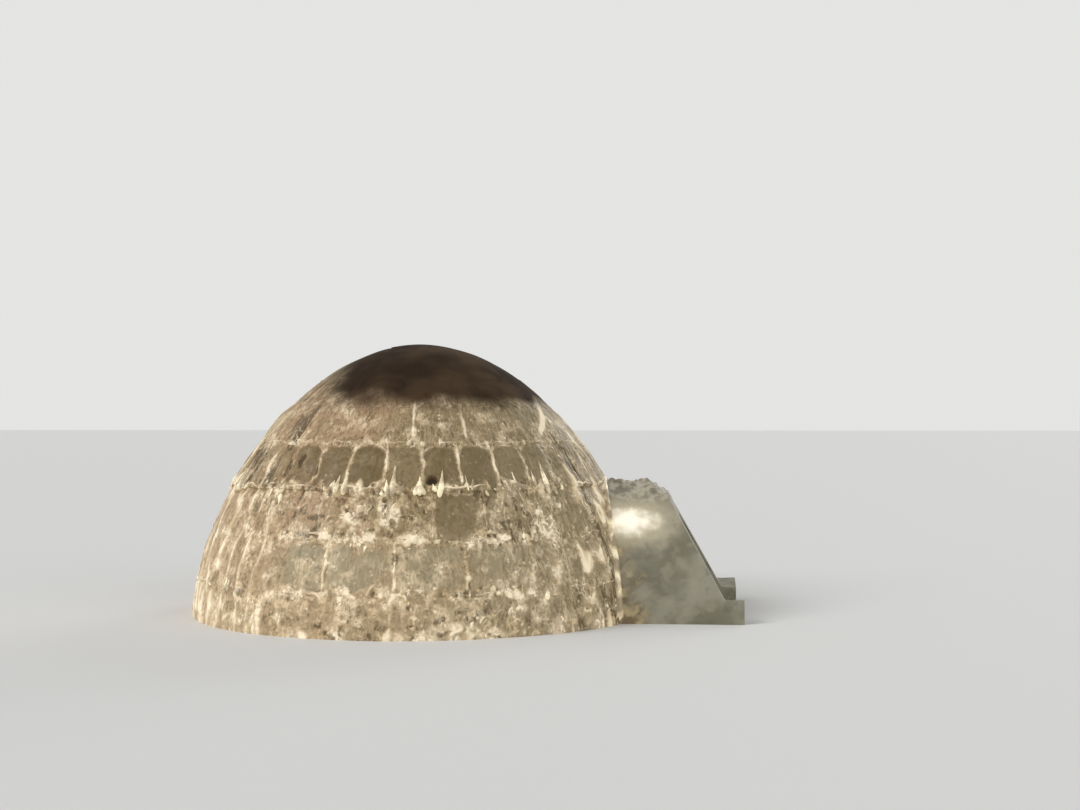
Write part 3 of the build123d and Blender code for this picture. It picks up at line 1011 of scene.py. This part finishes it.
def ice_color(nodes, ice):
    """The ice between the crests."""
    # Clear panes look dark and olive, cloudy ice between them paler, and pink low on the left
    pane_color = nodes.mix(nodes.ramp(ice.tone, 0.0, 1.0), PANE_DARK, PANE_PALE)
    pink = nodes.times(nodes.ramp(ice.across, -0.1, -0.6), nodes.ramp(ice.broad, 0.35, 0.6))
    face = nodes.mix(pink, CLOUDY, CLOUDY_PINK)
    face = nodes.mix(nodes.ramp(ice.pane, 0.0, 0.9), face, pane_color)
    face = nodes.mix(nodes.ramp(ice.mottle, 0.52, 0.36, 0.0, 0.5), face, MOTTLED)
    # The light inside shows most through the lower courses and the left side
    face = nodes.mix(nodes.ramp(ice.height, 0.2, 1.0, 0.55, 0.0), face, LIT_LOW)
    face = nodes.mix(nodes.ramp(ice.across, -2.15, -1.0, 0.55, 0.0), face, LIT_LEFT)
    face = nodes.mix(nodes.ramp(ice.across, -0.2, 0.9, 0.0, 0.6), face, SHADED_RIGHT)
    # Low panes look grey and a little green beside the warm ice round them
    green = nodes.times(
        nodes.ramp(ice.pane, 0.04, 0.26, 0.0, 0.6), nodes.ramp(ice.height, 0.58, 0.70, 1.0, 0.0),
        nodes.ramp(ice.broad, 0.62, 0.46, 0.25, 1.0),
    )
    face = nodes.mix(green, face, LOW_PANE)
    # Painted light: patches where the light inside shines through brightly
    shining = nodes.times(
        nodes.ramp(ice.patch, 0.46, 0.60), nodes.ramp(ice.pane, 0.0, 0.5, 0.8, 0.1),
        nodes.ramp(ice.across, -0.3, 0.8, 1.0, 0.5), nodes.ramp(ice.mottle, 0.40, 0.56, 0.35, 1.0),
    )
    face = nodes.mix(shining, face, SHINING)
    foot = nodes.times(
        nodes.ramp(ice.height, 0.02, 0.16, 0.45, 0.0), nodes.ramp(ice.patch, 0.42, 0.58)
    )
    face = nodes.mix(foot, face, LIT_FOOT)
    # Painted shade: hollows are dark, pits darker, and a broken painted shadow runs round the crests
    shade = nodes.plus(ice.hollow, nodes.swing(ice.fine, 0.9))
    face = nodes.mix(nodes.ramp(shade, 0.12, 0.80, 0.0, 0.8), face, HOLLOW)
    face = nodes.mix(nodes.ramp(ice.hollow, 1.0, 1.4), face, PIT)
    skirt = nodes.times(
        nodes.ramp(ice.bright, 0.0, 0.07), nodes.ramp(ice.bright, 0.10, 0.30, 1.0, 0.0),
        nodes.ramp(ice.fine, 0.42, 0.6, 0.0, 0.35),
    )
    return nodes.mix(skirt, face, SKIRT)


def with_crests(nodes, ice, face):
    """The ice with its crests, runs, specks and blobs of slush painted bright, as lit from inside and
    as glints.
    """
    crest = nodes.ramp(nodes.plus(ice.bright, nodes.swing(ice.fine, 0.8)), 0.18, 0.58)
    faint = nodes.times(ice.runs["Mask"], nodes.ramp(ice.pane, 0.1, 0.6, 0.38, 0.05))
    speck = nodes.times(ice.curls["Specks"], nodes.ramp(ice.pane, 0.1, 0.6, 0.75, 0.2))
    blob = nodes.times(ice.curls["Mask"], nodes.ramp(ice.mottle, 0.42, 0.55, 0.5, 1.0))
    crest = nodes.most(crest, faint, speck, blob)
    # Painted light: crests most lit from inside, and some patches, take the brighter colour
    crest_glow = nodes.most(nodes.ramp(ice.bright, 0.4, 0.85), nodes.ramp(ice.patch, 0.44, 0.60))
    return nodes.mix(nodes.times(crest, 0.94), face, nodes.mix(crest_glow, CREST_DIM, CREST_BRIGHT))


def crown_mask(nodes, ice):
    """The crown is thick, smooth and painted in shade, as the light inside does not show through it,
    with a soft uneven lower edge, and ends on the left.
    """
    wander = nodes.swing(nodes.noise(ice.place, 3.6, 2.0), CROWN_WANDER)
    crown = nodes.ramp(nodes.plus(ice.height, wander), *CROWN_EDGE)
    left_end = nodes.ramp(nodes.plus(ice.across, wander), *CROWN_LEFT, 0.15, 1.0)
    return nodes.times(crown, nodes.most(left_end, nodes.ramp(ice.height, *CROWN_TOP)))


def glazed_ice():
    """The dome's outside: khaki ice, painted bright in its crests and joints as lit from inside, and
    painted in shade at the crown.
    """
    material, nodes, shader, place = new_material("glazed_block_ice")
    ice = read_ice(nodes, place)
    crown = crown_mask(nodes, ice)
    cap = nodes.mix(nodes.ramp(ice.broad, 0.35, 0.65), CROWN_DARK, CROWN_PALE)
    seen = nodes.mix(crown, with_crests(nodes, ice, ice_color(nodes, ice)), cap)
    glow(nodes, shader, seen, nodes.ramp(ice.height, 0.0, 2.1, *DOME_GLOW))

    dull = nodes.plus(ice.frost["Roughness"], nodes.times(crown, 0.3))
    nodes.feed(dull, shader.inputs["Roughness"])
    wet = nodes.ramp(ice.pane, 0.1, 0.8, 0.1, 0.07)
    wet = nodes.times(wet, nodes.ramp(crown, 0.0, 1.0, 1.0, 0.06))
    nodes.feed(wet, shader.inputs["Coat Weight"])
    set_finish(shader, Coat_Roughness=0.2, Coat_Tint=WARM_GLINT, Specular_Tint=WARM_GLINT)
    set_finish(shader, IOR=1.31, Specular_IOR_Level=0.2)
    relief = nodes.plus(
        ice.curls["Height"], nodes.times(ice.runs["Height"], 0.4), nodes.times(ice.fine, 0.2),
        nodes.times(ice.frost["Height"], 0.06),
    )
    calm = nodes.ramp(ice.pane, 0.1, 0.7, 0.5, 0.15)
    calm = nodes.times(calm, nodes.ramp(crown, 0.0, 1.0, 1.0, 0.3))
    nodes.bump(shader, relief, calm, 0.02)
    return material


def inner_ice():
    """The inside of the walls: smooth melted ice, lit warm."""
    material, nodes, shader, place = new_material("melted_inner_ice")
    frost = use(nodes, FROST_GRAIN, Vector=place, Scale=40.0, Roughness=0.4, Spread=0.2)
    broad = nodes.noise(place, 3.0, 4.0)
    seen = nodes.mix(nodes.ramp(broad, 0.35, 0.7), INNER_DIM, INNER_BRIGHT)
    glow(nodes, shader, seen, INNER_GLOW)
    nodes.feed(frost["Roughness"], shader.inputs["Roughness"])
    set_finish(shader, Coat_Weight=0.3, Coat_Roughness=0.2)
    nodes.bump(shader, nodes.plus(broad, nodes.times(frost["Height"], 0.1)), 0.4, 0.03)
    return material


def passage_snow():
    """The passage's outside: smooth grey-green snow, crusted and pale on top."""
    material, nodes, shader, place = new_material("passage_snow")
    axes = nodes.add("ShaderNodeSeparateXYZ", {0: place}).outputs
    across, height = axes["X"], axes["Z"]
    frost = use(nodes, FROST_GRAIN, Vector=place, Scale=70.0, Roughness=0.5, Spread=0.25)
    broad = nodes.noise(place, 3.2, 4.0)
    mottle = nodes.noise(place, 14.0, 4.0)
    blotch = nodes.noise(place, 8.0, 3.0)
    seen = nodes.mix(nodes.ramp(broad, 0.35, 0.65), SNOW_DARK, SNOW_PALE)
    seen = nodes.mix(nodes.ramp(blotch, 0.52, 0.66, 0.0, 0.5), seen, BLOTCH_PALE)
    seen = nodes.mix(nodes.ramp(blotch, 0.46, 0.34, 0.0, 0.5), seen, BLOTCH_DARK)
    # Beside the dome the snow is lit warm and is melted as the dome is
    from_dome = nodes.plus(across, nodes.times(height, 0.33), nodes.swing(blotch, 0.5))
    warm = nodes.ramp(from_dome, AXIS.x + 1.68, AXIS.x + 1.92, 0.85, 0.0)
    golden = nodes.mix(nodes.ramp(mottle, 0.42, 0.60), GOLD_DARK, GOLD_PALE)
    seen = nodes.mix(warm, seen, golden)
    ragged = nodes.swing(mottle, 0.3)
    crust = nodes.mix(nodes.ramp(mottle, 0.40, 0.62), CRUST_DARK, CRUST_PALE)
    seen = nodes.mix(nodes.ramp(nodes.plus(height, ragged), 0.78, 0.98), seen, crust)

    sunk = nodes.vector("MULTIPLY", place, PATCH_SQUASH)
    middle = tuple(a * b for a, b in zip(PATCH_MIDDLE, PATCH_SQUASH))
    near = nodes.add("ShaderNodeVectorMath", {0: sunk, 1: middle}, operation="DISTANCE")
    away = nodes.plus(near.outputs["Value"], nodes.times(ragged, 0.6))
    seen = nodes.mix(nodes.ramp(away, 0.08, 0.44, 0.75, 0.0), seen, HALO)
    patch = nodes.ramp(away, 0.05, 0.23, 1.0, 0.0)
    seen = nodes.mix(patch, seen, BRIGHT_PATCH)
    glow(nodes, shader, seen, nodes.plus(SNOW_GLOW, nodes.times(patch, PATCH_GLOW)))
    nodes.feed(frost["Roughness"], shader.inputs["Roughness"])
    set_finish(shader, Coat_Weight=0.06, Coat_Roughness=0.3, Specular_IOR_Level=0.25)
    relief = nodes.plus(nodes.times(mottle, 0.7), nodes.times(frost["Height"], 0.15))
    nodes.bump(shader, relief, 0.45, 0.02)
    return material


def drip_ice():
    """Clear ice of the drips and icicles along the ledges, painted bright as lit from inside."""
    material, nodes, shader, place = new_material("drip_ice")
    mottle = nodes.noise(place, 9.0, 5.0)
    seen = nodes.mix(nodes.ramp(mottle, 0.40, 0.52), DRIP_DIM, DRIP_PALE)
    seen = nodes.mix(nodes.ramp(mottle, 0.51, 0.60), seen, DRIP_BRIGHT)
    glow(nodes, shader, seen, DRIP_GLOW)
    set_finish(shader, Roughness=0.3, Coat_Weight=0.25, Coat_Roughness=0.1)
    nodes.bump(shader, mottle, 0.3, 0.01)
    return material


OUTER_ICE = glazed_ice()
INNER_ICE = inner_ice()
PASSAGE_SNOW = passage_snow()
DRIP_ICE = drip_ice()


# The dome


def build_dome():
    for node in sorted(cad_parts):
        if not node.startswith("course_") and node != "doorway_lintel":
            continue
        level = LINTEL_COURSE if node == "doorway_lintel" else int(node.split("_")[1])
        low, high = beds[level - 1], beds[level]
        blocks = [dome_block(node, level, span, low, high) for span in frame_blocks(node)]
        finish_piece(joined(f"glazed_{node}", blocks), node, [OUTER_ICE, INNER_ICE])


def build_key_block():
    """The round key block, its square grid drawn out to a disc."""
    along, up, depth = UNITS[plain_cube]
    x, y = 2 * along - 1, 2 * up - 1
    disc_x, disc_y = x * np.sqrt(1 - y * y / 2), y * np.sqrt(1 - x * x / 2)
    share = np.hypot(disc_x, disc_y)
    azimuth = np.arctan2(disc_y, disc_x)
    rim_angle = curve_angle(np.array([beds[-1]]))[0]
    angle = math.pi / 2 - (math.pi / 2 - rim_angle) * share
    r, z, out, rise = curve_at(angle)
    places = on_dome(r - out * WALL * depth, azimuth, z - rise * WALL * depth)
    relief = rough(places * LUMPS[0], LUMPS[1]) * LUMP_HEIGHT * CALM_LUMPS
    relief *= np.clip(1 - FADE * depth, 0, 1)
    places = places + outward(out, azimuth, rise) * relief[:, None]
    masks = dict(bright=0.0, hollow=0.0, melt=0.0, pane=0.5, tone=0.5)
    block = block_mesh("key_block", plain_cube, places, wall_place(azimuth, angle), masks)
    finish_piece(joined("glazed_key_block", [block]), "key_block", [OUTER_ICE, INNER_ICE])


# The passage

# Its crust starts at these shares of its height and stands out in lumps and roughness, and all of
# its snow swells a little and has a grain
CRUST_FROM = (0.80, 0.92)
CRUST_LUMP = 0.022
CRUST_ROUGH = 0.014
SNOW_SWELL = 0.018
SNOW_GRAIN = 0.003
# Its blocks to a course, end to end
PASSAGE_BLOCKS = 2


def dome_x(y, z):
    """Where the dome's outside lies along the passage."""
    r = curve_at(curve_angle(z))[0]
    return AXIS.x + np.sqrt(np.maximum(r**2 - y**2, 0))


def mouth_x(z):
    """Where the mouth lies along the passage, with its brow cut off above."""
    slope = AXIS.x + MOUTH_FOOT + (MOUTH_CROWN - MOUTH_FOOT) * z / PASSAGE_HEIGHT
    tilt = math.atan2(PASSAGE_HEIGHT, MOUTH_FOOT - MOUTH_CROWN) / 2
    brow = AXIS.x + MOUTH_CROWN - BROW_LENGTH + (PASSAGE_HEIGHT - z) / math.tan(tilt)
    return np.minimum(slope, brow)


def passage_block(name, angles, side, start, end, kerb):
    """One block of the passage between two section angles and two shares of its length."""
    along, up, depth = UNITS[worked_cube]
    on_ground = kerb & (up < 0.01)
    y, z, out, rise = passage_at(angles[0] + (angles[1] - angles[0]) * up)
    y, z = y - out * PASSAGE_WALL * depth, z - rise * PASSAGE_WALL * depth
    z = np.where(on_ground, 0, z)
    inner = dome_x(y, z)
    outer = AXIS.x + KERB_END if kerb else mouth_x(z)
    x = inner + (outer - inner) * (start + (end - start) * along)
    wall = np.stack([x, side * y, z], axis=1)
    facing = np.stack([np.zeros(len(y)), side * out, rise], axis=1)
    crust = smoothstep(*CRUST_FROM, z / PASSAGE_HEIGHT)
    lumps = droplets(wall * 15, 95, 0.6)
    relief = rough(wall * 3.0, 91) * SNOW_SWELL + rough(wall * 22, 93) * SNOW_GRAIN
    relief += crust * (lumps * CRUST_LUMP + rough(wall * 12, 92) * CRUST_ROUGH)
    places = wall + facing * (relief * np.clip(1 - FADE * depth, 0, 1))[:, None]
    places[:, 2] = np.where(on_ground, 0, places[:, 2])
    masks = dict(bright=crust * lumps, hollow=0.0, melt=crust, pane=0.0, tone=random.random())
    return block_mesh(name, worked_cube, places, wall, masks)


def build_passage():
    crown_foot = math.acos(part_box("passage_crown")[1].y / PASSAGE_HALF_WIDTH)
    walls = [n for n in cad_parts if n.startswith("passage_course") and n.endswith("front")]
    tops = [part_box(n)[1].z for n in ["passage_kerb_front"] + sorted(walls)[:-1]]
    angles = [0.0] + [float(rise_angle(z, PASSAGE_HEIGHT)) for z in tops] + [crown_foot]
    for side, side_name in ((-1, "front"), (1, "rear")):
        for course in range(len(angles) - 1):
            node = f"passage_course_{course}_{side_name}" if course else f"passage_kerb_{side_name}"
            pair = (angles[course], angles[course + 1])
            blocks = [
                passage_block(
                    node, pair, side, i / PASSAGE_BLOCKS, (i + 1) / PASSAGE_BLOCKS, kerb=course == 0
                )
                for i in range(PASSAGE_BLOCKS)
            ]
            piece = joined(f"crusted_{node}", blocks)
            if side > 0:
                face_outwards(piece)
            finish_piece(piece, node, [PASSAGE_SNOW, INNER_ICE])
    arch = (crown_foot, math.pi - crown_foot)
    crown = passage_block("passage_crown", arch, -1, 0, 1, kerb=False)
    piece = joined("crusted_passage_crown", [crown])
    finish_piece(piece, "passage_crown", [PASSAGE_SNOW, INNER_ICE])


# Drips: refrozen spikes and hanging drops along the ledges between the courses

# The tall spikes round the pit in front: azimuth in degrees, height, height above it, width and
# lean
TALL_SPIKES = (
    (-88.3, 0.985, 0.18, 0.050, 0.15),
    (-89.8, 0.985, 0.09, 0.042, -0.3),
    (-86.2, 0.985, 0.06, 0.045, 0.6),
    (-80.9, 0.985, 0.11, 0.048, 0.0),
    (-80.1, 0.985, 0.07, 0.044, -0.5),
    (-81.9, 0.985, 0.08, 0.044, 0.4),
    (-75.0, 0.995, 0.14, 0.045, 0.35),
    (-54.5, 1.040, 0.06, 0.090, -1.2),
    (-51.5, 1.010, 0.06, 0.100, -1.0),
    (-42.5, 0.990, 0.20, 0.050, 0.1),
    (-102.0, 0.990, 0.13, 0.050, 0.0),
)
# Drips on each course: its level, how many, the tallest, the share that hangs and how far they
# stand out, with any that are placed one by one
DRIP_ROWS = (
    (1, 50, 0.09, 0.15, 0.010, ()),
    (2, 60, 0.07, 0.3, 0.010, ()),
    (3, 170, 0.12, 0.08, 0.024, TALL_SPIKES),
)
# A drop's foot lies this share of its length below its height, none is thicker than this, and none
# stands closer than this above the passage
DROP_FOOT = 0.35
THICKEST_DROP = 0.05
PASSAGE_CLEARANCE = 0.05


def drop_shape():
    """One drop: a round foot drawn up to a blunt point."""
    bpy.ops.mesh.primitive_uv_sphere_add(segments=10, ring_count=8, radius=0.5, location=(0, 0, 0))
    drop = bpy.context.active_object
    drop.name = "drop_shape"
    edit_mode()
    for height, width in ((0.1, 0.75), (0.3, 0.6)):
        bpy.ops.mesh.select_all(action="DESELECT")
        object_mode()
        for vertex in drop.data.vertices:
            vertex.select = vertex.co.z > height
        edit_mode()
        bpy.ops.transform.resize(value=(width, width, 1.5), center_override=(0, 0, height))
    object_mode()
    return drop


def frozen_drop(drop, stand, azimuth, height, tall, wide, lean):
    """One drop frozen to the wall: upright where tall is positive, hanging where negative."""
    rest = corners(drop.data)
    r, z, out, rise = (float(v[0]) for v in curve_at(curve_angle(np.array([height]))))
    side = (rest[:, 0] + lean * rest[:, 2]) * wide
    up = (rest[:, 2] + DROP_FOOT) * tall
    proud = rest[:, 1] * min(wide, THICKEST_DROP) * 0.8 + stand
    radius = r - rise * up + out * proud
    mesh = drop.data.copy()
    reshape(mesh, on_dome(radius, azimuth + side / r, z + out * up + rise * proud))
    if tall < 0:
        mesh.flip_normals()
    part = bpy.data.objects.new("drop", mesh)
    bpy.context.collection.objects.link(part)
    return part


def in_passage(azimuth, height):
    """Whether the passage covers this place on the dome."""
    r = curve_at(curve_angle(np.array([height])))[0][0]
    beside = abs(r * math.sin(azimuth)) < PASSAGE_HALF_WIDTH
    return beside and math.cos(azimuth) > 0 and height < PASSAGE_HEIGHT + PASSAGE_CLEARANCE


def build_drips(drop, level, count, tallest, hanging_share, stand, placed):
    """Drops frozen along one bed in loose clusters, all round the dome but for the passage."""
    places = [(math.radians(azimuth), *rest) for azimuth, *rest in placed]
    while len(places) < count:
        azimuth = random.uniform(-math.pi, math.pi)
        cluster = random.choice((1, 1, 2, 3, 4))
        for i in range(cluster):
            tall = tallest * random.uniform(0.15, 1.0) ** 1.5
            wide = random.uniform(0.018, 0.05) * (0.7 + 3 * tall)
            if random.random() < hanging_share:
                tall = -0.7 * tall
            height = beds[level] + random.uniform(-0.04, 0.03)
            step = 0.035 * i * random.uniform(0.6, 1.4)
            places.append((azimuth + step, height, tall, wide, random.uniform(-0.5, 0.5)))
    kept = [place for place in places if not in_passage(place[0], place[1])]
    parts = [frozen_drop(drop, stand, *place) for place in kept]
    piece = merged(f"drips_on_course_{level}", parts)
    bpy.ops.object.shade_smooth()
    piece.data.materials.append(DRIP_ICE)
    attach(piece, "root")


def build_all_drips():
    drop = drop_shape()
    for row in DRIP_ROWS:
        build_drips(drop, *row)
    bpy.data.objects.remove(drop, do_unlink=True)


# The bead of ice that has run down the joint between the dome and the passage

JUNCTION_STEPS = 180
JUNCTION_SIDES = 10
JUNCTION_RADIUS = 0.026
JUNCTION_PROUD = 0.016
JUNCTION_FOOT = 0.05


def build_junction_ice():
    bpy.ops.mesh.primitive_cylinder_add(
        vertices=JUNCTION_SIDES, radius=1, depth=1, end_fill_type="TRIFAN", location=(0, 0, 0)
    )
    bead = bpy.context.active_object
    bead.name = "junction_ice"
    edit_mode()
    for i in range(1, JUNCTION_STEPS):
        bpy.ops.mesh.select_all(action="SELECT")
        bpy.ops.mesh.bisect(plane_co=(0, 0, i / JUNCTION_STEPS - 0.5), plane_no=(0, 0, 1))
    object_mode()
    rest = corners(bead.data)
    share = rest[:, 2] + 0.5
    first = float(curve_angle(np.array([JUNCTION_FOOT]))[0])
    y, z, out, rise = passage_at(first + (math.pi - 2 * first) * share)
    proud = JUNCTION_PROUD
    middle = np.stack([dome_x(y, z) + proud, y + out * proud, z + rise * proud], axis=1)
    thick = JUNCTION_RADIUS * (1 + 0.4 * noise(middle * 4, 96) + 0.12 * noise(middle * 13, 97))
    thick *= np.clip(np.minimum(share, 1 - share) * 60, 0.3, 1)
    aside, along = rest[:, 0] * thick, rest[:, 1] * thick
    reshape(bead.data, middle + np.stack([along, out * aside, rise * aside], axis=1))
    face_outwards(bead)
    bpy.ops.object.shade_smooth()
    bead.data.materials.append(DRIP_ICE)
    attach(bead, "root")


build_dome()
build_key_block()
build_passage()
build_all_drips()
build_junction_ice()
for cube in (worked_cube, plain_cube):
    bpy.data.objects.remove(cube, do_unlink=True)


# The studio: floor, light and camera

FLOOR_SIZE = 400
bpy.ops.mesh.primitive_plane_add(size=FLOOR_SIZE, location=(0, 0, 0))
floor = bpy.context.active_object
floor.name = "floor"
floor_material, _, floor_shader, _ = new_material("pale_floor")
set_finish(floor_shader, Base_Color=(0.72, 0.72, 0.71, 1), Roughness=0.85)
floor.data.materials.append(floor_material)


def soft_light(name, place, strength, spread):
    """A wide, soft light from one direction, even over the whole floor."""
    bpy.ops.object.light_add(type="SUN", location=place)
    light = bpy.context.active_object
    light.name = name
    light.data.energy = strength
    light.data.angle = math.radians(spread)
    light.rotation_euler = (-Vector(place)).to_track_quat("-Z", "Y").to_euler()


soft_light("key_light", (-8, -5, 7), 1.7, 30)
soft_light("fill_light", (8, -6, 5), 0.5, 40)
soft_light("edge_light", (4, 8, 4), 0.45, 25)

# The pale background, at its strength as a light and as it is seen
WORLD_COLOR = (0.82, 0.82, 0.81, 1)
WORLD_LIGHT = 0.5
WORLD_SEEN = 0.95
world = bpy.data.worlds.new("studio")
bpy.context.scene.world = world
world.use_nodes = True
studio = Nodes(world.node_tree)
backdrop = world.node_tree.nodes["Background"]
backdrop.inputs["Color"].default_value = WORLD_COLOR
rays = studio.add("ShaderNodeLightPath").outputs
seen = studio.most(rays["Is Camera Ray"], rays["Is Glossy Ray"], rays["Is Transmission Ray"])
studio.feed(studio.ramp(seen, 0.0, 1.0, WORLD_LIGHT, WORLD_SEEN), backdrop.inputs["Strength"])

# The camera stands this far from the dome's axis, with the axis left of the middle
CAMERA_TURN = math.radians(5)
CAMERA_DISTANCE = 11.7
CAMERA_ASIDE = 0.957
CAMERA_HEIGHT = 1.516
CAMERA_PITCH = math.radians(0.6)
CAMERA_LENS = 48.1
CAMERA_SENSOR = 36

ahead = Vector((-math.sin(CAMERA_TURN), math.cos(CAMERA_TURN), 0))
aside = Vector((math.cos(CAMERA_TURN), math.sin(CAMERA_TURN), 0))
spot = AXIS - ahead * CAMERA_DISTANCE + aside * CAMERA_ASIDE
bpy.ops.object.camera_add(
    location=(spot.x, spot.y, CAMERA_HEIGHT),
    rotation=(math.pi / 2 + CAMERA_PITCH, 0, CAMERA_TURN),
)
camera = bpy.context.active_object
camera.data.lens = CAMERA_LENS
camera.data.sensor_width = CAMERA_SENSOR
bpy.context.scene.camera = camera
bpy.context.scene.view_settings.view_transform = "Standard"
